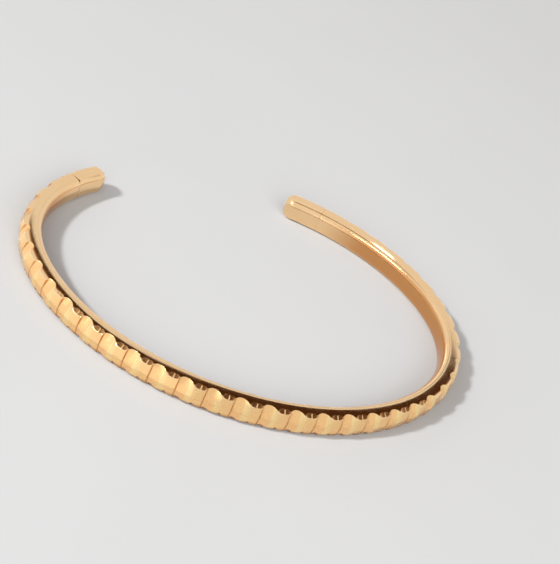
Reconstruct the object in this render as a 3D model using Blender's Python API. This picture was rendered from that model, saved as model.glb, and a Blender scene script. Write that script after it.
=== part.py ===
"""Open cuff bangle: a faceted band, a smooth liner and two rounded end caps.

The bar follows an oval plan and is open at the back.  The outer band is a
channel whose outer face carries facets cut straight across it.  The liner
closes the channel on the wrist side, and a tongue on its back sits in the
channel.  Each end cap has a spigot that plugs into the channel's open end.
Lengths are in millimetres until they reach the meshes.
"""

import math

import bmesh
import bpy
from mathutils import Vector

MM = 0.001

# Plan of the bar: an oval, slightly egg-shaped, drawn by its support function
MEAN_RADIUS = 27.0
OVAL = 3.42
EGG = 0.12
FRONT = math.radians(-90.0)

# Cross-section of the bar: a rounded rectangle with flats on top and bottom
THICKNESS = 3.0
HEIGHT = 3.6
ROUNDNESS = 2.7
FLAT_HALF_WIDTH = 0.45
MIDDLE = HEIGHT / 2

# Lengths along the outer face, measured from the middle of the closed front
BAND_LEFT = -58.0
BAND_RIGHT = 77.5
CAP_LENGTH = 6.2
TIP_ROUNDING = 1.5
TIP_ROUNDNESS = 2.4

# Facets: each period has a sharp crease, a tall facet that climbs the shoulders
# and a lower facet.  A step is (share of the period, cut at mid height, cut on
# the shoulders).
PERIOD = 3.718
CREASE_AT = -1.84
CREASE = (0.0, 0.16, 0.08)
FACET_STEPS = (CREASE, (0.08, 0.09, 0.20), (0.38, 0.0, 0.20), (0.60, 0.05, 0.05), (0.92, 0.11, 0.05))

# Joints between the pieces
GAP = 0.3
SEAM_OFFSET = -0.6
CHANNEL_FLOOR = 0.75
CHANNEL_HALF_HEIGHT = 1.05
TONGUE_DEPTH = 0.6
TONGUE_STUB = 0.12
TONGUE_STOP = 3.4
SPIGOT_LENGTH = 2.6
SPIGOT_HALF_THICKNESS = 0.42
SPIGOT_HALF_HEIGHT = CHANNEL_HALF_HEIGHT - GAP

# Mesh steps
UNCUT_ANGLE = 72
SHOULDER_ANGLE = 52
OUTER_ANGLES = (UNCUT_ANGLE, SHOULDER_ANGLE, 30, 9, -9, -30, -SHOULDER_ANGLE, -UNCUT_ANGLE)
INNER_ANGLES = (125, 145, 168, 192, 215, 235)
CAP_OUTER_ANGLES = (68, 45, 22, 0, -22, -45, -68)
CAP_INNER_ANGLES = (-112, -135, -158, 180, 158, 135, 112)
SPIGOT_TOP_ANGLES = (105, 75)
SPIGOT_BOTTOM_ANGLES = (-75, -105)
LINER_STEPS = 84
CAP_STEPS = 4
TIP_STEPS = 7
TIP_TURN = math.radians(86.0)
SHORTEST_STEP = 0.04 * PERIOD
BAND_SHARP_ANGLE = 20
SMOOTH_SHARP_ANGLE = 35

GOLD = (0.91, 0.66, 0.32, 1.0)
PALE_GOLD = (0.93, 0.69, 0.36, 1.0)


def clear_scene():
    for item in list(bpy.data.objects):
        bpy.data.objects.remove(item, do_unlink=True)


def metal(name, colour, roughness):
    material = bpy.data.materials.new(name)
    material.use_nodes = True
    shader = material.node_tree.nodes["Principled BSDF"]
    shader.inputs["Base Color"].default_value = colour
    shader.inputs["Metallic"].default_value = 1.0
    shader.inputs["Roughness"].default_value = roughness
    return material


def plan_point(theta, offset):
    """Point of the bar's plan whose outward normal has the angle theta."""
    reach = MEAN_RADIUS + OVAL * math.cos(2 * theta) - EGG * math.cos(3 * theta) + offset
    slide = -2 * OVAL * math.sin(2 * theta) + 3 * EGG * math.sin(3 * theta)
    x = reach * math.cos(theta) - slide * math.sin(theta)
    y = reach * math.sin(theta) + slide * math.cos(theta)
    return x, y


def arc_length(theta):
    """Length of the outer face from the front to the normal angle theta."""
    def primitive(angle):
        straight = (MEAN_RADIUS + THICKNESS / 2) * angle
        return straight - 1.5 * OVAL * math.sin(2 * angle) + 8 / 3 * EGG * math.sin(3 * angle)
    return primitive(theta) - primitive(FRONT)


def theta_at(arc):
    """Normal angle at a length along the outer face, by Newton's method."""
    theta = FRONT + arc / (MEAN_RADIUS + THICKNESS / 2)
    for _ in range(12):
        curvature_radius = (
            MEAN_RADIUS + THICKNESS / 2 - 3 * OVAL * math.cos(2 * theta) + 8 * EGG * math.cos(3 * theta)
        )
        theta -= (arc_length(theta) - arc) / curvature_radius
    return theta


def rounded_point(degrees, half_width, half_height):
    """Point of a superellipse, as (outward offset, height above the middle)."""
    angle = math.radians(degrees)
    power = 2 / ROUNDNESS
    across = math.copysign(abs(math.cos(angle)) ** power, math.cos(angle))
    up = math.copysign(abs(math.sin(angle)) ** power, math.sin(angle))
    return half_width * across, half_height * up


def bar_point(degrees):
    offset, rise = rounded_point(degrees, THICKNESS / 2, MIDDLE)
    return offset, MIDDLE + rise


def bar_top(offset):
    """Height of the bar's rounded top at an offset."""
    return MIDDLE + MIDDLE * (1 - abs(offset / (THICKNESS / 2)) ** ROUNDNESS) ** (1 / ROUNDNESS)


def place(arc, offset, height):
    x, y = plan_point(theta_at(arc), offset)
    return Vector((x * MM, y * MM, height * MM))


def swept_solid(name, rings, material, crease_angle):
    """Closed solid through rings of points, which all have the same count."""
    mesh = bpy.data.meshes.new(name)
    solid = bmesh.new()
    loops = [[solid.verts.new(point) for point in ring] for ring in rings]
    for near, far in zip(loops, loops[1:]):
        for index in range(len(near)):
            following = (index + 1) % len(near)
            solid.faces.new((near[index], near[following], far[following], far[index]))
    solid.faces.new(list(reversed(loops[0])))
    solid.faces.new(loops[-1])
    bmesh.ops.recalc_face_normals(solid, faces=solid.faces)
    bmesh.ops.triangulate(solid, faces=solid.faces)
    solid.to_mesh(mesh)
    solid.free()
    mesh.shade_smooth()
    mesh.set_sharp_from_angle(angle=math.radians(crease_angle))
    piece = bpy.data.objects.new(name, mesh)
    piece.data.materials.append(material)
    bpy.context.collection.objects.link(piece)
    return piece


def facet_stations():
    """Lengths along the band where a facet starts or ends, with the two cut depths there."""
    stations = []
    first = math.floor((BAND_LEFT - CREASE_AT) / PERIOD)
    last = math.ceil((BAND_RIGHT - CREASE_AT) / PERIOD)
    for count in range(first, last + 1):
        for fraction, face_cut, shoulder_cut in FACET_STEPS:
            arc = CREASE_AT + (count + fraction) * PERIOD
            if BAND_LEFT + SHORTEST_STEP < arc < BAND_RIGHT - SHORTEST_STEP:
                stations.append((arc, face_cut, shoulder_cut))
    return [(BAND_LEFT, 0.0, 0.0)] + stations + [(BAND_RIGHT, 0.0, 0.0)]


def band_ring(arc, face_cut, shoulder_cut):
    """Channel section: the cut outer face, then the lips and the channel."""
    lip = SEAM_OFFSET + GAP / 2
    top = MIDDLE + CHANNEL_HALF_HEIGHT
    bottom = MIDDLE - CHANNEL_HALF_HEIGHT
    cuts = {UNCUT_ANGLE: 0.0, SHOULDER_ANGLE: shoulder_cut}
    section = [(lip, HEIGHT), (FLAT_HALF_WIDTH, HEIGHT)]
    for degrees in OUTER_ANGLES:
        offset, height = bar_point(degrees)
        section.append((offset - cuts.get(abs(degrees), face_cut), height))
    section += [(FLAT_HALF_WIDTH, 0.0), (lip, 0.0)]
    section += [(lip, bottom), (CHANNEL_FLOOR, bottom), (CHANNEL_FLOOR, top), (lip, top)]
    return [place(arc, offset, height) for offset, height in section]


def faceted_band(material):
    rings = [band_ring(*station) for station in facet_stations()]
    return swept_solid("faceted_band", rings, material, BAND_SHARP_ANGLE)


def inner_liner(material):
    back = SEAM_OFFSET - GAP / 2
    edge_top = bar_top(back)
    tongue_half_height = CHANNEL_HALF_HEIGHT - GAP

    def ring(arc, tongue_depth):
        points = [(back, edge_top)]
        points += [bar_point(degrees) for degrees in INNER_ANGLES]
        points += [(back, HEIGHT - edge_top)]
        points += [(back, MIDDLE - tongue_half_height), (back + tongue_depth, MIDDLE - tongue_half_height)]
        points += [(back + tongue_depth, MIDDLE + tongue_half_height), (back, MIDDLE + tongue_half_height)]
        return [place(arc, offset, height) for offset, height in points]

    tongue_left = BAND_LEFT + TONGUE_STOP
    tongue_right = BAND_RIGHT - TONGUE_STOP
    rings = [ring(BAND_LEFT, TONGUE_STUB), ring(tongue_left - TONGUE_STUB, TONGUE_STUB)]
    for step in range(LINER_STEPS + 1):
        arc = tongue_left + (tongue_right - tongue_left) * step / LINER_STEPS
        rings.append(ring(arc, TONGUE_DEPTH))
    rings += [ring(tongue_right + TONGUE_STUB, TONGUE_STUB), ring(BAND_RIGHT, TONGUE_STUB)]
    return swept_solid("inner_liner", rings, material, SMOOTH_SHARP_ANGLE)


def end_cap(name, joint, direction, material):
    """Rounded terminal; direction is -1 at the left end and +1 at the right."""
    def full_ring(arc, scale):
        points = [(-FLAT_HALF_WIDTH, MIDDLE), (FLAT_HALF_WIDTH, MIDDLE)]
        points += [rounded_point(degrees, THICKNESS / 2, MIDDLE) for degrees in CAP_OUTER_ANGLES]
        points += [(FLAT_HALF_WIDTH, -MIDDLE), (-FLAT_HALF_WIDTH, -MIDDLE)]
        points += [rounded_point(degrees, THICKNESS / 2, MIDDLE) for degrees in CAP_INNER_ANGLES]
        return [place(arc, offset * scale, MIDDLE + rise * scale) for offset, rise in points]

    def spigot_ring(arc):
        angles = SPIGOT_TOP_ANGLES + CAP_OUTER_ANGLES + SPIGOT_BOTTOM_ANGLES + CAP_INNER_ANGLES
        points = [rounded_point(degrees, SPIGOT_HALF_THICKNESS, SPIGOT_HALF_HEIGHT) for degrees in angles]
        return [place(arc, offset, MIDDLE + rise) for offset, rise in points]

    face = joint + direction * GAP
    tip = joint + direction * CAP_LENGTH
    shoulder = tip - direction * TIP_ROUNDING
    rings = [spigot_ring(joint - direction * SPIGOT_LENGTH), spigot_ring(face)]
    for step in range(CAP_STEPS + 1):
        arc = face + (shoulder - face) * step / CAP_STEPS
        rings.append(full_ring(arc, 1.0))
    power = 2 / TIP_ROUNDNESS
    for step in range(1, TIP_STEPS + 1):
        turn = TIP_TURN * step / TIP_STEPS
        scale = math.cos(turn) ** power
        rings.append(full_ring(shoulder + direction * TIP_ROUNDING * math.sin(turn) ** power, scale))
    return swept_solid(name, rings, material, SMOOTH_SHARP_ANGLE)


def centre_over_origin(pieces):
    """Parent the pieces to one empty that brings the middle of their box over the origin."""
    corners = [vertex.co for piece in pieces for vertex in piece.data.vertices]
    middle_x = (min(point.x for point in corners) + max(point.x for point in corners)) / 2
    middle_y = (min(point.y for point in corners) + max(point.y for point in corners)) / 2
    frame = bpy.data.objects.new("cuff_frame", None)
    bpy.context.collection.objects.link(frame)
    frame.location = (-middle_x, -middle_y, 0.0)
    for piece in pieces:
        piece.parent = frame
    bpy.context.view_layer.update()


def build():
    clear_scene()
    faceted_gold = metal("faceted_gold", GOLD, 0.22)
    polished_gold = metal("polished_gold", PALE_GOLD, 0.16)
    cap_gold = metal("cap_gold", PALE_GOLD, 0.18)
    pieces = [
        faceted_band(faceted_gold),
        inner_liner(polished_gold),
        end_cap("left_end_cap", BAND_LEFT, -1, cap_gold),
        end_cap("right_end_cap", BAND_RIGHT, 1, cap_gold),
    ]
    centre_over_origin(pieces)


build()
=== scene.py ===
"""Looks of the open cuff bangle: finely cut facets, polished liner and caps in gold.

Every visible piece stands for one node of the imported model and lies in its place.
Lengths are in millimetres until they reach the meshes and the scene.
"""
import math

import bpy
import numpy as np
from mathutils import Matrix, Vector


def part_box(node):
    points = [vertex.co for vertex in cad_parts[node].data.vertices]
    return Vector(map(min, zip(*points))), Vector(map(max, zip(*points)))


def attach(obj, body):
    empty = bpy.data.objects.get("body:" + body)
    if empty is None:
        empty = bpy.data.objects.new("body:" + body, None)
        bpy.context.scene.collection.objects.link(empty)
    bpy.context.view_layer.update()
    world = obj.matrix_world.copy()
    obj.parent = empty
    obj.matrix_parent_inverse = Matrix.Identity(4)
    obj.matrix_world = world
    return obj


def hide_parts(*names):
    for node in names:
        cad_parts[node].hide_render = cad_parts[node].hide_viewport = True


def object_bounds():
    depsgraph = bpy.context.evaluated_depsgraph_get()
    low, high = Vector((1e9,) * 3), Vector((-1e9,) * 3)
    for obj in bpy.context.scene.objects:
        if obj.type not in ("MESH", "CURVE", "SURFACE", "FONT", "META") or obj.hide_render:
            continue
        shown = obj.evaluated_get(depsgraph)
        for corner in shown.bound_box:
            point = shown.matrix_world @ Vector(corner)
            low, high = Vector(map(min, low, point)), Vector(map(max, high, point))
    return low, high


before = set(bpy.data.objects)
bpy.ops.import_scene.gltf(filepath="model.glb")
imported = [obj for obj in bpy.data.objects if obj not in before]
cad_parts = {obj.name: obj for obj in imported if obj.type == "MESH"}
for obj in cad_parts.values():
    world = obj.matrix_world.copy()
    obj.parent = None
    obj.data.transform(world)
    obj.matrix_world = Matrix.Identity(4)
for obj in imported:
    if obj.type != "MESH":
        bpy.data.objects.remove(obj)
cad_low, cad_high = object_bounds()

MM = 0.001

# Plan and cross-section of the bar, as in the CAD model
MEAN_RADIUS = 27.0
OVAL = 3.42
EGG = 0.12
FRONT = math.radians(-90.0)
HALF_THICKNESS = 1.5
HALF_HEIGHT = 1.8
ROUNDNESS = 2.7
BAND_LEFT = -58.0
BAND_RIGHT = 77.5
CAP_LENGTH = 6.2
CAD_GAP = 0.3
TONGUE_BACK = -0.15

# Rounds of Newton's method for the arc length and for the facets
ARC_ROUNDS = 12
REACH_ROUNDS = 8

# Facets: shares of the period are counted from the sharp crease
PERIOD = 3.718
CREASE_AT = -1.84
STEPS_PER_PERIOD = 56
FACE_STATIONS = (0.0, 0.04, 0.38, 0.60, 0.97, 1.0)
FACE_OFFSETS = (1.37, 1.39, 1.50, 1.445, 1.37, 1.37)
ARCH_MIDDLE = 0.25
ARCH_HALF_WIDTH = 0.30
ARCH_POWER = 2.2
LOW_SLOPE = 0.155
TALL_SLOPE = 0.47
SLOPE_POWER = 1.35
CREASE_HALF_WIDTH = 0.026
CREASE_DEPTH = 0.07
# Ledge above the low facet, with a small ridge across it
LEDGE_MIDDLE = 0.77
LEDGE_HALF_LENGTH = 0.90
LEDGE_TILT = math.radians(60.0)
LEDGE_LEVEL = 1.785
LEDGE_END_RISE = 0.12
LEDGE_SQUARENESS = 4.0
LEDGE_RUN_OUT = (24.0, 36.0)
RIDGE_AT = 0.785
RIDGE_HEIGHT = 0.05
RIDGE_HALF_WIDTH = 0.08
# Notches in the lower edge: share of the period, depth and half length
NOTCHES = ((0.13, 0.13, 0.50), (0.68, 0.09, 0.22))
NOTCH_TILT = math.radians(36.0)
NOTCH_LEVEL = 1.70
# Distance that stands for no cut, and the least cosine at which a flat cut is followed
NO_CUT = 9.0
LEAST_FACING = 0.3
# The cuts fade out before the caps, lifted clear of the bar
FADE_START = 0.3
FADE_LENGTH = 0.55 * PERIOD
FADE_LIFT = 0.6
# What the material shows on the cuts: satin, painted shade in the creases, on the ledges, in the notches
# and along the low edge, and a painted sheen that changes along each period
SATIN_DEPTH = 0.012
CREASE_SHADE_REACH = 1.5
HOLLOW_DEPTH = 0.03
RIDGE_CLEAR = 0.6
LEDGE_SHADE_STRENGTH = 0.55
NOTCH_SHADE_STRENGTH = 0.75
LOW_EDGE = (math.radians(36.0), math.radians(48.0))
LOW_EDGE_SHADE_STRENGTH = 0.55
# Painted sheen along each period: shares of the period and how light each part is painted
SHEEN_STATIONS = (0.0, 0.36, 0.40, 0.58, 0.62, 1.0)
SHEEN_LEVELS = (0.0, 0.2, 1.0, 0.85, 0.45, 0.25)
# Section of the band: height at which the lip starts, angles that bound the shoulder, and the
# steps above, on and below the shoulder
LIP_HEIGHT = 0.97 * HALF_HEIGHT
SHOULDER = (math.radians(76.0), math.radians(40.0))
SECTION_STEPS = (8, 34, 8)

# Edges that turn by more than these degrees look sharp
BAND_SHARP_ANGLE = 22
POLISHED_SHARP_ANGLE = 40

# Seams: outward offset of the lengthwise one, half the width of the line that shows, and the
# rounding of the edges beside it, whose middle point is given in shares of that rounding
SEAM_OFFSET = -0.6
SEAM_HALF_WIDTH = 0.003
SEAM_ROUNDING = 0.006
END_SEAM_ROUNDING = 0.03
BEVEL_OUT = 0.3
BEVEL_DOWN = 0.2
CHANNEL_FLOOR = 0.75
CHANNEL_HALF_HEIGHT = 1.05

# Liner: its tongue stops short of the spigots, and its wrist side has painted shade, darker and more
# orange, for gold mirrored in gold and the shaded floor
TONGUE_HALF_HEIGHT = CHANNEL_HALF_HEIGHT - CAD_GAP
TONGUE_SHORT = 3.4
TONGUE_STUB = 0.1
LINER_EDGE_ANGLE = 2.02
LINER_SECTION_STEPS = 34
LINER_STATIONS = 300
INWARD_SHADE_DEPTH = (1.0, 1.35)
INWARD_SHADE_FADE = 9.0

# Caps: the spigot goes into the channel, and the tip is rounded
SPIGOT_HALF_SIZE = (0.42, 0.75)
SPIGOT_LENGTH = 2.6
TIP_ROUNDING = 1.5
TIP_ROUNDNESS = 2.4
TIP_TURN = math.radians(89.4)
TIP_STEPS = 26
CAP_STATIONS = 16
CAP_SECTION_STEPS = 96

# Materials: noise scales are per metre, bump distances are in metres
POLISHED_STOPS = ((0.3, (0.95, 0.64, 0.34)), (0.7, (0.98, 0.68, 0.38)))
SATIN_STOPS = ((0.0, (0.97, 0.58, 0.26)), (1.0, (1.0, 0.73, 0.35)))
FLOOR_STOPS = ((0.3, (0.484, 0.491, 0.496)), (0.7, (0.502, 0.509, 0.514)))
# The colours on the next lines are painted shade: on the liner's wrist side, in the creases, and on ledges,
# notches and the low edge
WRIST_SIDE_SHADE_COLOUR = (0.66, 0.32, 0.12, 1.0)
CREASE_SHADE_COLOUR = (0.55, 0.25, 0.08, 1.0)
CREASE_SHADE_SHARE = 0.72
PAINTED_SHADE_COLOUR = (0.34, 0.12, 0.03, 1.0)
TINT_NOISE = {"scale": 90.0, "detail": 2.0}
SPECKLE_NOISE = {"scale": 420.0, "detail": 4.0, "roughness": 0.6}
SPECKLE_SPAN = (0.3, 0.7)
SPECKLE_SHIFT = (-0.12, 0.12)
POLISHED_HAZE = {"scale": 700.0, "detail": 4.0, "roughness": 0.6}
CUT_HAZE = {"scale": 900.0, "detail": 4.0, "roughness": 0.6}
HAZE_SPAN = (0.3, 0.75)
POLISHED_ROUGHNESS = (0.12, 0.22)
SATIN_ROUGHNESS = (0.20, 0.34)
SCRATCH_NOISE = {"scale": 5200.0, "detail": 2.0, "roughness": 0.7}
SCRATCH_STRENGTH = 0.10
SCRATCH_DEPTH = 0.00002
GRAIN_NOISE = {"scale": 3800.0, "detail": 3.0, "roughness": 0.65}
GRAIN_STRENGTH = (0.05, 0.07)
GRAIN_DEPTH = 0.00003
FLOOR_NOISE = {"scale": 14.0, "detail": 3.0}
FLOOR_ROUGHNESS = 0.9

# Camera: angles in degrees, seen from the closed front
CAMERA_AZIMUTH = 14.93
CAMERA_ELEVATION = 35.41
CAMERA_ROLL = 25.49
CAMERA_DISTANCE = 196.4
CAMERA_AIM = (4.84, 3.97, 1.8)
CAMERA_LENS = 89.36
SENSOR_WIDTH = 36.0
CLIP_START = 0.01

# Floor and lights, in metres and watts
FLOOR_HALF = 3.0
FLOOR_DROP = 0.00002
WINDOW_LIGHT = {
    "direction": (-1.0, -0.36, 0.90), "distance": 1.5, "size": (0.15, 0.15), "power": 7.28, "spread": 110.0,
}
FRONT_FILL = {
    "direction": (0.1, -1.0, 0.7), "distance": 1.5, "size": (1.8, 1.2), "power": 18.0, "spread": 180.0,
}

# Surroundings that the gold reflects. Dark patches: direction, and the angles in degrees
# from it where the patch stops being darkest and where it ends
PALE_SURROUND = (0.86, 0.86, 0.86)
DARK_PATCH = (0.060, 0.022, 0.006)
PATCH_EDGE = (0.44, 0.24, 0.12)
DARK_PATCHES = (
    ((0.20, 0.31, 0.93), 31.0, 43.0),
    ((0.314, 0.591, 0.743), 25.0, 38.0),
)
# Card behind the open side: x and top
BACK_CARD_Y = 26.0
BACK_CARD_TOP = (
    (-70, 22), (-33, 24), (-26, 30), (-16, 52), (-7, 50),
    (5, 40), (13, 29), (22, 23), (35, 25), (90, 25),
)
BACK_CARD_STRENGTH = 0.92
# Card that leans outwards round the front left
FRONT_CARD_TURNS = range(-190, -99, 10)
FRONT_CARD_FOOT = 3.2
FRONT_CARD_REACH = 110.0
FRONT_CARD_TOP = 65.0
FRONT_CARD_STRENGTH = 1.15
# Level card over the right arm, and a small bright one low over it
ARM_CARD_X = (-2.0, 36.0)
ARM_CARD_Y = (19.0, 40.0)
ARM_CARD_HEIGHT = 28.0
ARM_CARD_STRENGTH = 1.0
SPOT_TURNS = (53, 59)
SPOT_OFFSETS = (-0.6, 3.0)
SPOT_HEIGHT = 9.0
SPOT_STRENGTH = 7.0
# Narrow bright card to the front left, for the glints on the arches
WINDOW_CARD_TURNS = range(-165, -128, 9)
WINDOW_CARD_RADIUS = 230.0
WINDOW_CARD_RISE = (186.0, 206.0)
WINDOW_CARD_STRENGTH = 26.0


# ---------------------------------------------------------------- bar geometry

def plan(theta, offset):
    """Points of the bar's plan whose outward normals have the angles theta."""
    reach = MEAN_RADIUS + OVAL * np.cos(2 * theta) - EGG * np.cos(3 * theta) + offset
    slide = -2 * OVAL * np.sin(2 * theta) + 3 * EGG * np.sin(3 * theta)
    x = reach * np.cos(theta) - slide * np.sin(theta)
    y = reach * np.sin(theta) + slide * np.cos(theta)
    return x, y


def arc_length(theta):
    """Length of the outer face from the front to the normal angle theta."""
    def primitive(angle):
        """Indefinite integral of the outer face's radius of curvature."""
        straight = (MEAN_RADIUS + HALF_THICKNESS) * angle
        return straight - 1.5 * OVAL * np.sin(2 * angle) + 8 / 3 * EGG * np.sin(3 * angle)
    return primitive(theta) - primitive(FRONT)


def theta_at(arc):
    """Normal angle at lengths along the outer face, by Newton's method."""
    radius = MEAN_RADIUS + HALF_THICKNESS
    theta = FRONT + arc / radius
    for _ in range(ARC_ROUNDS):
        bend = radius - 3 * OVAL * np.cos(2 * theta) + 8 * EGG * np.cos(3 * theta)
        theta = theta - (arc_length(theta) - arc) / bend
    return theta


def frame_shift():
    """Shift from the plan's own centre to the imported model's frame, read from the liner's box."""
    low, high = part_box("inner_liner")
    right, _ = plan(0.0, TONGUE_BACK)
    left, _ = plan(math.pi, TONGUE_BACK)
    _, front = plan(FRONT, TONGUE_BACK)
    return (low.x + high.x) / 2 / MM - (left + right) / 2, low.y / MM - front


SHIFT_X, SHIFT_Y = frame_shift()


def place(arc, offset, rise):
    """World points in metres for arrays of arc length, outward offset and height above the middle."""
    x, y = plan(theta_at(arc), offset)
    z = np.broadcast_to(HALF_HEIGHT + rise, x.shape)
    return np.stack([(x + SHIFT_X) * MM, (y + SHIFT_Y) * MM, z * MM], axis=-1)


def rounded(angle, half_width, half_height):
    """Superellipse points at angles in radians."""
    power = 2 / ROUNDNESS
    cosine, sine = np.cos(angle), np.sin(angle)
    across = np.sign(cosine) * np.abs(cosine) ** power
    up = np.sign(sine) * np.abs(sine) ** power
    return half_width * across, half_height * up


def signed_volume(mesh):
    """Volume inside a closed mesh, negative when its faces point inwards."""
    mesh.calc_loop_triangles()
    corners = np.empty(len(mesh.vertices) * 3)
    mesh.vertices.foreach_get("co", corners)
    corners = corners.reshape(-1, 3)
    triangles = np.empty(len(mesh.loop_triangles) * 3, dtype=np.int64)
    mesh.loop_triangles.foreach_get("vertices", triangles)
    a, b, c = (corners[triangles.reshape(-1, 3)[:, side]] for side in range(3))
    return float(np.einsum("ij,ij->i", a, np.cross(b, c)).sum() / 6)


def mesh_from_rings(name, points, sharp_angle):
    """Closed solid through rings of points, an array of (rings, points per ring, 3)."""
    ring_count, ring_size, _ = points.shape
    near = np.arange(ring_count - 1)[:, None] * ring_size
    index = np.arange(ring_size)[None, :]
    following = (index + 1) % ring_size
    far = near + ring_size
    quads = np.stack([near + index, near + following, far + following, far + index], axis=-1)
    first = list(range(ring_size))[::-1]
    last = [(ring_count - 1) * ring_size + step for step in range(ring_size)]
    mesh = bpy.data.meshes.new(name)
    mesh.from_pydata(points.reshape(-1, 3).tolist(), [], quads.reshape(-1, 4).tolist() + [first, last])
    mesh.update()
    if signed_volume(mesh) < 0:
        mesh.flip_normals()
    mesh.shade_smooth()
    mesh.set_sharp_from_angle(angle=math.radians(sharp_angle))
    piece = bpy.data.objects.new(name, mesh)
    bpy.context.scene.collection.objects.link(piece)
    return piece


def paint(piece, name, values, ring_size):
    """Store values for the first points of each ring as an attribute, and 0 for the other points."""
    ring_count, painted = values.shape
    full = np.zeros((ring_count, ring_size))
    full[:, :painted] = values
    piece.data.attributes.new(name, "FLOAT", "POINT").data.foreach_set("value", full.reshape(-1))


# ---------------------------------------------------------------- facets

def smooth_step(value, start, end):
    """Smooth step from 0 at start to 1 at end."""
    share = np.clip((value - start) / (end - start), 0.0, 1.0)
    return share * share * (3 - 2 * share)


def base_reach(beta):
    """Distance from the section's middle to the uncut rounded bar."""
    across = np.abs(np.cos(beta) / HALF_THICKNESS) ** ROUNDNESS
    up = np.abs(np.sin(beta) / HALF_HEIGHT) ** ROUNDNESS
    return (across + up) ** (-1 / ROUNDNESS)


def from_crease(u):
    """Distance from the nearest crease, in half widths of the crease."""
    return np.minimum(u, 1 - u) / CREASE_HALF_WIDTH


def facet_reach(u, beta):
    """Distance from the section's middle to the cut facets, in the direction beta."""
    face = np.interp(u, FACE_STATIONS, FACE_OFFSETS)
    # The tall facet wraps over the shoulder in an arch; the low one stays close to the bar
    from_middle = np.abs(u - ARCH_MIDDLE) / ARCH_HALF_WIDTH
    arch = np.clip(1 - from_middle ** ARCH_POWER, 0.0, 1.0)
    outward = np.maximum(np.cos(beta), 0.0)
    lean = LOW_SLOPE + (TALL_SLOPE - LOW_SLOPE) * arch * (beta > 0)
    slope = lean * np.abs(np.sin(beta)) ** SLOPE_POWER
    reach = np.broadcast_to(face, slope.shape)
    for _ in range(REACH_ROUNDS):
        miss = slope * reach ** SLOPE_POWER + reach * outward - face
        reach = reach - miss / (SLOPE_POWER * slope * reach ** (SLOPE_POWER - 1) + outward)
    return reach - CREASE_DEPTH * np.clip(1 - from_crease(u), 0.0, 1.0)


def along_from(u, middle):
    """Length along the bar from the nearest feature that sits at a share of the period."""
    return (np.mod(u - middle + 0.5, 1.0) - 0.5) * PERIOD


def flat_reach(level, facing, inside):
    """Distance to a flat cut at a level, followed only inside its length and where it is faced."""
    cut = inside & (facing > LEAST_FACING)
    return np.where(cut, level / np.maximum(facing, LEAST_FACING), NO_CUT)


def ledge_reach(u, beta, presence):
    """Distance to the flat ledge above each low facet, with a small ridge across it."""
    along = along_from(u, LEDGE_MIDDLE) / LEDGE_HALF_LENGTH
    level = LEDGE_LEVEL + LEDGE_END_RISE * np.abs(along) ** LEDGE_SQUARENESS
    from_ridge = np.abs(along_from(u, RIDGE_AT)) / RIDGE_HALF_WIDTH
    level = level + RIDGE_HEIGHT * np.clip(1 - from_ridge, 0.0, 1.0)
    reach = flat_reach(level, np.cos(beta - LEDGE_TILT), np.abs(along) < 1)
    return reach + (1 - presence) * LEDGE_END_RISE


def notch_reach(u, beta):
    """Distance to the shallow notches along the lower edge."""
    nearest = np.full(np.broadcast(u, beta).shape, NO_CUT)
    for middle, depth, half_length in NOTCHES:
        along = along_from(u, middle) / half_length
        level = NOTCH_LEVEL - depth * np.clip(1 - along ** 2, 0.0, 1.0)
        notch = flat_reach(level, np.cos(beta + NOTCH_TILT), np.abs(along) < 1)
        nearest = np.minimum(nearest, notch)
    return nearest


def band_section():
    """Directions of the cut outer side, and the fixed points of lips and channel."""
    lip = SEAM_OFFSET + SEAM_HALF_WIDTH
    lip_beta = math.atan2(LIP_HEIGHT, lip + SEAM_ROUNDING)
    bounds = (lip_beta, *SHOULDER, 0)
    half = np.concatenate([
        np.linspace(high, low, steps, endpoint=False)
        for high, low, steps in zip(bounds, bounds[1:], SECTION_STEPS)
    ])
    outer = np.concatenate([half, [0.0], -half[::-1]])
    lip_top = float(base_reach(np.array(lip_beta))) * math.sin(lip_beta)
    upper = [
        (CHANNEL_FLOOR, CHANNEL_HALF_HEIGHT),
        (lip, CHANNEL_HALF_HEIGHT),
        (lip, lip_top - SEAM_ROUNDING),
        (lip + BEVEL_OUT * SEAM_ROUNDING, lip_top - BEVEL_DOWN * SEAM_ROUNDING),
    ]
    lower = [(across, -up) for across, up in upper[::-1]]
    return outer, np.array(lower + upper)


def band_ends():
    """Arc lengths of the band's ends, which nearly close the gap that the CAD leaves at the caps."""
    middle_gap = CAD_GAP / 2 - SEAM_HALF_WIDTH
    return BAND_LEFT - middle_gap, BAND_RIGHT + middle_gap


def band_stations():
    """Arc lengths of the band's rings, each period with the same stations."""
    start, end = band_ends()
    step = PERIOD / STEPS_PER_PERIOD
    first = math.ceil((start + step / 2 - CREASE_AT) / step)
    last = math.floor((end - step / 2 - CREASE_AT) / step)
    inner = CREASE_AT + step * np.arange(first, last + 1)
    near_start, near_end = start + END_SEAM_ROUNDING, end - END_SEAM_ROUNDING
    return np.concatenate([[start, near_start], inner[1:-1], [near_end, end]])


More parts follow.
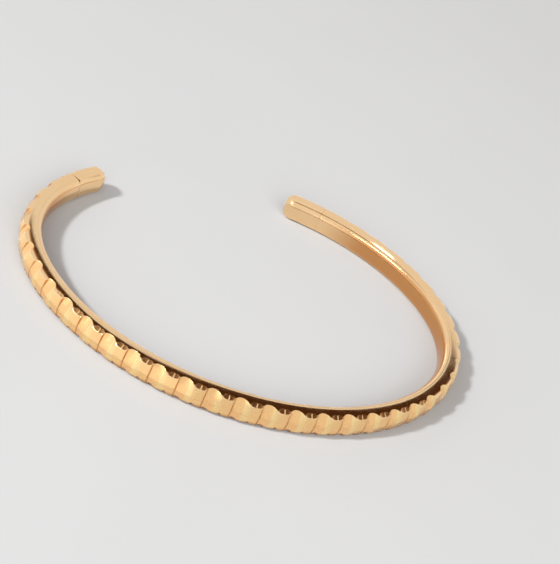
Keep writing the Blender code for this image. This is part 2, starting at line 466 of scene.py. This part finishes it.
def faceted_band():
    """Outer band with its cuts, and what its material needs to know of them."""
    outer, lips = band_section()
    arcs = band_stations()[:, None]
    from_end = np.minimum(arcs - arcs[0], arcs[-1] - arcs)
    fade = smooth_step(from_end, FADE_START, FADE_START + FADE_LENGTH)
    beta = outer[None, :]
    base = np.broadcast_to(base_reach(beta), (len(arcs), len(outer)))
    u = np.mod((arcs - CREASE_AT) / PERIOD, 1.0)
    # The ledges run out on the way to the two arms
    presence = 1 - smooth_step(np.abs(arcs), *LEDGE_RUN_OUT)
    facet, ledge, notch = facet_reach(u, beta), ledge_reach(u, beta, presence), notch_reach(u, beta)
    cuts = np.minimum(facet, np.minimum(ledge, notch)) + (1 - fade) * FADE_LIFT
    cut_depth = base - np.minimum(base, cuts)
    end_bevel = END_SEAM_ROUNDING * np.clip(1 - from_end / END_SEAM_ROUNDING, 0, 1)
    reach = base - cut_depth - end_bevel
    outer_points = place(arcs, reach * np.cos(beta), reach * np.sin(beta))
    lip_points = place(arcs, lips[None, :, 0], lips[None, :, 1])
    points = np.concatenate([outer_points, lip_points], axis=1)
    piece = mesh_from_rings("faceted_band_skin", points, BAND_SHARP_ANGLE)

    cut = np.clip(cut_depth / SATIN_DEPTH, 0, 1)
    # Painted shade: the creases are darkened as if by shade and by gold mirrored in gold
    crease = np.clip(CREASE_SHADE_REACH - from_crease(u), 0, 1) * cut
    uncut = np.minimum(base, facet)
    off_ridge = np.clip(np.abs(along_from(u, RIDGE_AT)) / RIDGE_HALF_WIDTH - RIDGE_CLEAR, 0, 1)
    # Painted shade on the ledges, in the notches and along the low edge: darker where the gold mirrors the
    # dark room above and the floor's contact shadow; the ridge stays clear
    ledge_shade = np.clip((uncut - ledge) / HOLLOW_DEPTH, 0, 1) * off_ridge * presence * LEDGE_SHADE_STRENGTH
    notch_shade = np.clip((uncut - notch) / HOLLOW_DEPTH, 0, 1) * NOTCH_SHADE_STRENGTH
    low_edge_shade = smooth_step(-beta, *LOW_EDGE) * LOW_EDGE_SHADE_STRENGTH
    painted_shade = np.maximum(np.maximum(ledge_shade, notch_shade), low_edge_shade) * fade
    # Painted sheen: the facets of each period are painted lighter or darker, as light falls on them,
    # brightest in a band near the middle
    painted_sheen = np.broadcast_to(np.interp(u, SHEEN_STATIONS, SHEEN_LEVELS), base.shape)
    for name, values in (("cut", cut), ("crease", crease), ("painted_shade", painted_shade), ("painted_sheen", painted_sheen)):
        paint(piece, name, values, points.shape[1])
    return piece


# ---------------------------------------------------------------- liner and caps

def liner_section():
    """Points of the liner's section: wrist side, lower seam, tongue and upper seam."""
    back = SEAM_OFFSET - SEAM_HALF_WIDTH
    angles = np.linspace(LINER_EDGE_ANGLE, 2 * math.pi - LINER_EDGE_ANGLE, LINER_SECTION_STEPS)
    across, up = rounded(angles, HALF_THICKNESS, HALF_HEIGHT)
    edge = back - SEAM_ROUNDING
    corner = HALF_HEIGHT * (1 - abs(edge / HALF_THICKNESS) ** ROUNDNESS) ** (1 / ROUNDNESS)
    upper = [
        (TONGUE_BACK, TONGUE_HALF_HEIGHT),
        (back, TONGUE_HALF_HEIGHT),
        (back, corner - SEAM_ROUNDING),
        (back - BEVEL_OUT * SEAM_ROUNDING, corner - BEVEL_DOWN * SEAM_ROUNDING),
    ]
    lower = [(x, -y) for x, y in upper[::-1]]
    wrist_side = [(edge, corner), *zip(across.tolist(), up.tolist()), (edge, -corner)]
    return back, np.array(wrist_side + lower + upper)


def inner_liner():
    """Liner along the wrist side of the band, with its tongue in the channel."""
    start, end = band_ends()
    back, section = liner_section()
    arcs = np.linspace(start + END_SEAM_ROUNDING, end - END_SEAM_ROUNDING, LINER_STATIONS)
    arcs = np.concatenate([[start], arcs, [end]])
    squeeze = np.ones(len(arcs))
    squeeze[[0, -1]] = 1 - END_SEAM_ROUNDING / HALF_THICKNESS
    offsets = back + (section[None, :, 0] - back) * squeeze[:, None]
    rises = section[None, :, 1] * squeeze[:, None]
    near_end = (arcs < BAND_LEFT + TONGUE_SHORT) | (arcs > BAND_RIGHT - TONGUE_SHORT)
    tongue = offsets > back
    offsets = np.where(near_end[:, None] & tongue, back + TONGUE_STUB, offsets)
    points = place(arcs[:, None], offsets, rises)
    piece = mesh_from_rings("inner_liner_skin", points, POLISHED_SHARP_ANGLE)
    from_end = np.minimum(arcs - start, end - arcs)[:, None]
    # Painted shade on the wrist side: darker and more orange, for gold mirrored in gold and the shaded
    # floor, fading out near the ends
    inward_shade = smooth_step(-offsets, *INWARD_SHADE_DEPTH) * smooth_step(from_end, 0.0, INWARD_SHADE_FADE)
    paint(piece, "inward_shade", inward_shade, points.shape[1])
    return piece


def end_cap(name, joint, direction):
    """Rounded terminal with its spigot; direction is -1 at the left end and +1 at the right."""
    angles = np.linspace(math.pi, -math.pi, CAP_SECTION_STEPS, endpoint=False)
    across, up = rounded(angles, HALF_THICKNESS, HALF_HEIGHT)
    spigot = rounded(angles, *SPIGOT_HALF_SIZE)
    face = joint + direction * (CAD_GAP / 2 + SEAM_HALF_WIDTH)
    rings = [(joint - direction * SPIGOT_LENGTH, *spigot), (face, *spigot)]
    edge = END_SEAM_ROUNDING / HALF_THICKNESS
    for share, arc in ((1, face), (BEVEL_OUT, face + direction * BEVEL_OUT * END_SEAM_ROUNDING)):
        rings.append((arc, across * (1 - share * edge), up * (1 - share * edge)))
    shoulder = joint + direction * CAP_LENGTH - direction * TIP_ROUNDING
    straight = np.linspace(face + direction * END_SEAM_ROUNDING, shoulder, CAP_STATIONS)
    rings += [(arc, across, up) for arc in straight]
    power = 2 / TIP_ROUNDNESS
    for step in range(1, TIP_STEPS + 1):
        turn = TIP_TURN * step / TIP_STEPS
        scale = math.cos(turn) ** power
        arc = shoulder + direction * TIP_ROUNDING * math.sin(turn) ** power
        rings.append((arc, across * scale, up * scale))
    points = np.stack([place(np.array(arc), wide, high) for arc, wide, high in rings])
    return mesh_from_rings(name, points, POLISHED_SHARP_ANGLE)


# ---------------------------------------------------------------- materials

class Nodes:
    """Short way to build a node material."""

    def __init__(self, name):
        self.material = bpy.data.materials.new(name)
        self.material.use_nodes = True
        self.tree = self.material.node_tree
        self.shader = self.tree.nodes["Principled BSDF"]

    def feed(self, socket, value):
        """Link a socket to an output, or set its plain value."""
        if isinstance(value, bpy.types.NodeSocket):
            self.tree.links.new(value, socket)
        else:
            socket.default_value = value

    def add(self, kind, inputs=None, **settings):
        """New node with its settings and inputs."""
        node = self.tree.nodes.new(kind)
        for key, value in settings.items():
            setattr(node, key, value)
        for key, value in (inputs or {}).items():
            self.feed(node.inputs[key], value)
        return node

    def attribute(self, name):
        """A value painted on the mesh."""
        return self.add("ShaderNodeAttribute", attribute_name=name).outputs["Fac"]

    def noise(self, scale, detail, roughness=0.55):
        """Noise in the piece's own coordinates."""
        place_in_piece = self.add("ShaderNodeTexCoord").outputs["Object"]
        inputs = {"Scale": scale, "Detail": detail, "Roughness": roughness, "Vector": place_in_piece}
        return self.add("ShaderNodeTexNoise", inputs).outputs["Fac"]

    def colours(self, factor, stops):
        """Colour ramp through stops of position and colour."""
        node = self.add("ShaderNodeValToRGB", {"Fac": factor})
        for element, (position, colour) in zip(node.color_ramp.elements, stops):
            element.position = position
            element.color = (*colour, 1.0)
        return node.outputs["Color"]

    def map(self, value, span, onto):
        """The value, stretched from a span onto another."""
        inputs = {
            "Value": value, "From Min": span[0], "From Max": span[1], "To Min": onto[0], "To Max": onto[1],
        }
        return self.add("ShaderNodeMapRange", inputs).outputs["Result"]

    def mix(self, factor, first, second):
        """Mix of two colours."""
        node = self.add("ShaderNodeMix", {0: factor, 6: first, 7: second}, data_type="RGBA")
        return node.outputs[2]

    def mix_numbers(self, factor, first, second):
        """Mix of two numbers."""
        node = self.add("ShaderNodeMix", {0: factor, 2: first, 3: second}, data_type="FLOAT")
        return node.outputs[0]

    def math(self, operation, first, second):
        """Sum or product of two numbers, as the operation says."""
        return self.add("ShaderNodeMath", {0: first, 1: second}, operation=operation).outputs[0]

    def bump(self, height, strength, distance):
        """Normal from a height."""
        inputs = {"Height": height, "Strength": strength, "Distance": distance}
        return self.add("ShaderNodeBump", inputs).outputs["Normal"]

    def metal(self, colour, rough, normal):
        """Finish as a metal and return the material."""
        inputs = {"Base Color": colour, "Roughness": rough, "Normal": normal, "Metallic": 1.0}
        for key, value in inputs.items():
            self.feed(self.shader.inputs[key], value)
        return self.material


def polished_gold(name):
    """Polished gold plate: slow tint changes, faint haze and hairline scratches.

    The face turned to the wrist gets painted shade from an attribute, darker and more orange, for gold
    mirrored in gold and the shaded floor.
    """
    n = Nodes(name)
    colour = n.colours(n.noise(**TINT_NOISE), POLISHED_STOPS)
    # Painted shade on the wrist side of the liner
    colour = n.mix(n.attribute("inward_shade"), colour, WRIST_SIDE_SHADE_COLOUR)
    rough = n.map(n.noise(**POLISHED_HAZE), HAZE_SPAN, POLISHED_ROUGHNESS)
    normal = n.bump(n.noise(**SCRATCH_NOISE), SCRATCH_STRENGTH, SCRATCH_DEPTH)
    return n.metal(colour, rough, normal)


def cut_gold(name):
    """Cut gold: satin facets with painted sheen, bright uncut shoulders, and painted shade in the creases,
    on ledges and notches and along the lower edge.
    """
    n = Nodes(name)
    cut = n.attribute("cut")
    speckle = n.map(n.noise(**SPECKLE_NOISE), SPECKLE_SPAN, SPECKLE_SHIFT)
    # Painted sheen: the satin colour is lighter or darker from facet to facet
    satin = n.colours(n.math("ADD", n.attribute("painted_sheen"), speckle), SATIN_STOPS)
    colour = n.mix(cut, n.colours(n.noise(**TINT_NOISE), POLISHED_STOPS), satin)
    # Painted shade: a darker, more orange colour in the creases
    colour = n.mix(n.math("MULTIPLY", n.attribute("crease"), CREASE_SHADE_SHARE), colour, CREASE_SHADE_COLOUR)
    # Painted shade: dark brown on the ledges, in the notches and along the low edge
    colour = n.mix(n.attribute("painted_shade"), colour, PAINTED_SHADE_COLOUR)
    haze = n.noise(**CUT_HAZE)
    bright_rough = n.map(haze, HAZE_SPAN, POLISHED_ROUGHNESS)
    satin_rough = n.map(haze, HAZE_SPAN, SATIN_ROUGHNESS)
    rough = n.mix_numbers(cut, bright_rough, satin_rough)
    normal = n.bump(n.noise(**GRAIN_NOISE), n.map(cut, (0.0, 1.0), GRAIN_STRENGTH), GRAIN_DEPTH)
    return n.metal(colour, rough, normal)


def floor_material():
    """Pale matt floor with slow tint changes."""
    n = Nodes("floor_white")
    n.feed(n.shader.inputs["Base Color"], n.colours(n.noise(**FLOOR_NOISE), FLOOR_STOPS))
    n.shader.inputs["Roughness"].default_value = FLOOR_ROUGHNESS
    return n.material


# ---------------------------------------------------------------- stage, light, camera

def add_floor():
    """Wide floor just under the cuff."""
    mesh = bpy.data.meshes.new("floor")
    half = FLOOR_HALF
    low = cad_low.z - FLOOR_DROP
    corners = [(-half, -half, low), (half, -half, low), (half, half, low), (-half, half, low)]
    mesh.from_pydata(corners, [], [(0, 1, 2, 3)])
    floor = bpy.data.objects.new("floor", mesh)
    bpy.context.scene.collection.objects.link(floor)
    mesh.materials.append(floor_material())


def add_area(name, direction, distance, size, power, spread):
    """Soft rectangular light that shines at the cuff from a direction; reflections don't show it."""
    data = bpy.data.lights.new(name, "AREA")
    data.shape = "RECTANGLE"
    data.size, data.size_y = size
    data.energy = power
    data.spread = math.radians(spread)
    light = bpy.data.objects.new(name, data)
    light.location = Vector(direction).normalized() * distance
    light.rotation_mode = "QUATERNION"
    light.rotation_quaternion = (-Vector(direction)).to_track_quat("-Z", "Y")
    light.visible_glossy = False
    bpy.context.scene.collection.objects.link(light)


def add_card(name, foot, foot_rise, back, tops, strength):
    """Pale card from the line foot, all at one height, to the line back with a height for each point.

    Only the metal's reflections show it.
    """
    low = [(x * MM, y * MM, foot_rise * MM) for x, y in foot]
    high = [(x * MM, y * MM, top * MM) for (x, y), top in zip(back, tops)]
    count = len(foot)
    quads = [(i, i + 1, count + i + 1, count + i) for i in range(count - 1)]
    mesh = bpy.data.meshes.new(name)
    mesh.from_pydata(low + high, [], quads)
    card = bpy.data.objects.new(name, mesh)
    bpy.context.scene.collection.objects.link(card)
    material = bpy.data.materials.new(name + "_white")
    material.use_nodes = True
    shader = material.node_tree.nodes["Principled BSDF"]
    shader.inputs["Base Color"].default_value = (0.0, 0.0, 0.0, 1.0)
    shader.inputs["Emission Color"].default_value = (*PALE_SURROUND, 1.0)
    shader.inputs["Emission Strength"].default_value = strength
    mesh.materials.append(material)
    card.visible_camera = False
    card.visible_diffuse = False
    card.visible_shadow = False
    card.visible_transmission = False


def plan_line(turns, offset):
    """Plan points at turns in degrees and an outward offset."""
    return list(zip(*plan(np.radians(turns), offset)))


def add_cards():
    """Cards behind the open side, round the front left, over the right arm and high to the front left."""
    line = [(x, BACK_CARD_Y) for x, _ in BACK_CARD_TOP]
    add_card("back_card", line, 0.0, line, [top for _, top in BACK_CARD_TOP], BACK_CARD_STRENGTH)
    foot, back = (plan_line(FRONT_CARD_TURNS, offset) for offset in (FRONT_CARD_FOOT, FRONT_CARD_REACH))
    add_card("front_card", foot, 0.0, back, [FRONT_CARD_TOP] * len(back), FRONT_CARD_STRENGTH)
    near, far = ([(x, y) for x in ARM_CARD_X] for y in ARM_CARD_Y)
    add_card("arm_card", near, ARM_CARD_HEIGHT, far, [ARM_CARD_HEIGHT] * len(far), ARM_CARD_STRENGTH)
    near, far = (plan_line(SPOT_TURNS, offset) for offset in SPOT_OFFSETS)
    add_card("spot_card", near, SPOT_HEIGHT, far, [SPOT_HEIGHT] * len(far), SPOT_STRENGTH)
    turns = [math.radians(turn) for turn in WINDOW_CARD_TURNS]
    line = [(WINDOW_CARD_RADIUS * math.cos(turn), WINDOW_CARD_RADIUS * math.sin(turn)) for turn in turns]
    foot_rise, top_rise = WINDOW_CARD_RISE
    add_card("window_card", line, foot_rise, line, [top_rise] * len(line), WINDOW_CARD_STRENGTH)


def add_world():
    """Pale all round, with two dark brown patches high up, like a room that the polished gold mirrors."""
    world = bpy.data.worlds.new("studio")
    world.use_nodes = True
    tree = world.node_tree
    direction = tree.nodes.new("ShaderNodeTexCoord").outputs["Generated"]

    def patch(toward, inside, outside):
        """Colour that is dark near one direction and pale away from it."""
        nearness = tree.nodes.new("ShaderNodeVectorMath")
        nearness.operation = "DOT_PRODUCT"
        tree.links.new(direction, nearness.inputs[0])
        nearness.inputs[1].default_value = Vector(toward).normalized()
        shade = tree.nodes.new("ShaderNodeValToRGB")
        tree.links.new(nearness.outputs["Value"], shade.inputs["Fac"])
        middle = (inside + 2 * outside) / 3
        stops = ((outside, PALE_SURROUND), (middle, PATCH_EDGE), (inside, DARK_PATCH))
        shade.color_ramp.elements.new(0.5)  # a third stop; all three are set next
        for element, (angle, colour) in zip(shade.color_ramp.elements, stops):
            element.position = math.cos(math.radians(angle))
            element.color = (*colour, 1.0)
        return shade.outputs["Color"]

    darker = tree.nodes.new("ShaderNodeVectorMath")
    darker.operation = "MINIMUM"
    for socket, row in zip(darker.inputs, DARK_PATCHES):
        tree.links.new(patch(*row), socket)
    tree.links.new(darker.outputs["Vector"], tree.nodes["Background"].inputs["Color"])
    bpy.context.scene.world = world


def add_camera():
    """Camera at the photograph's viewing angle."""
    azimuth, elevation, roll = (math.radians(v) for v in (CAMERA_AZIMUTH, CAMERA_ELEVATION, CAMERA_ROLL))
    ahead = Vector((
        math.sin(azimuth) * math.cos(elevation),
        math.cos(azimuth) * math.cos(elevation),
        -math.sin(elevation),
    ))
    level = Vector((math.cos(azimuth), -math.sin(azimuth), 0.0))
    above = level.cross(ahead)
    right = level * math.cos(roll) + above * math.sin(roll)
    up = right.cross(ahead)
    data = bpy.data.cameras.new("camera")
    data.lens = CAMERA_LENS
    data.sensor_width = SENSOR_WIDTH
    data.clip_start = CLIP_START
    camera = bpy.data.objects.new("camera", data)
    bpy.context.scene.collection.objects.link(camera)
    turn = Matrix((right, up, -ahead)).transposed()
    position = (Vector(CAMERA_AIM) - ahead * CAMERA_DISTANCE) * MM
    camera.matrix_world = Matrix.Translation(position) @ turn.to_4x4()
    bpy.context.scene.camera = camera


def build():
    """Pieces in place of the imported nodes, then the stage, lights and camera."""
    bpy.context.scene.view_settings.view_transform = "Standard"
    cut = cut_gold("faceted_gold")
    polished = polished_gold("polished_gold")
    cap = polished_gold("cap_gold")
    pieces = [
        (faceted_band(), "faceted_band", "faceted_gold", cut),
        (inner_liner(), "inner_liner", "polished_gold", polished),
        (end_cap("left_end_cap_skin", BAND_LEFT, -1), "left_end_cap", "cap_gold", cap),
        (end_cap("right_end_cap_skin", BAND_RIGHT, 1), "right_end_cap", "cap_gold", cap),
    ]
    for piece, node, slot, material in pieces:
        piece.data.materials.append(material)
        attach(piece, "root")
        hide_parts(node)
    add_floor()
    add_world()
    add_cards()
    add_area("window", **WINDOW_LIGHT)
    add_area("front_fill", **FRONT_FILL)
    add_camera()


build()
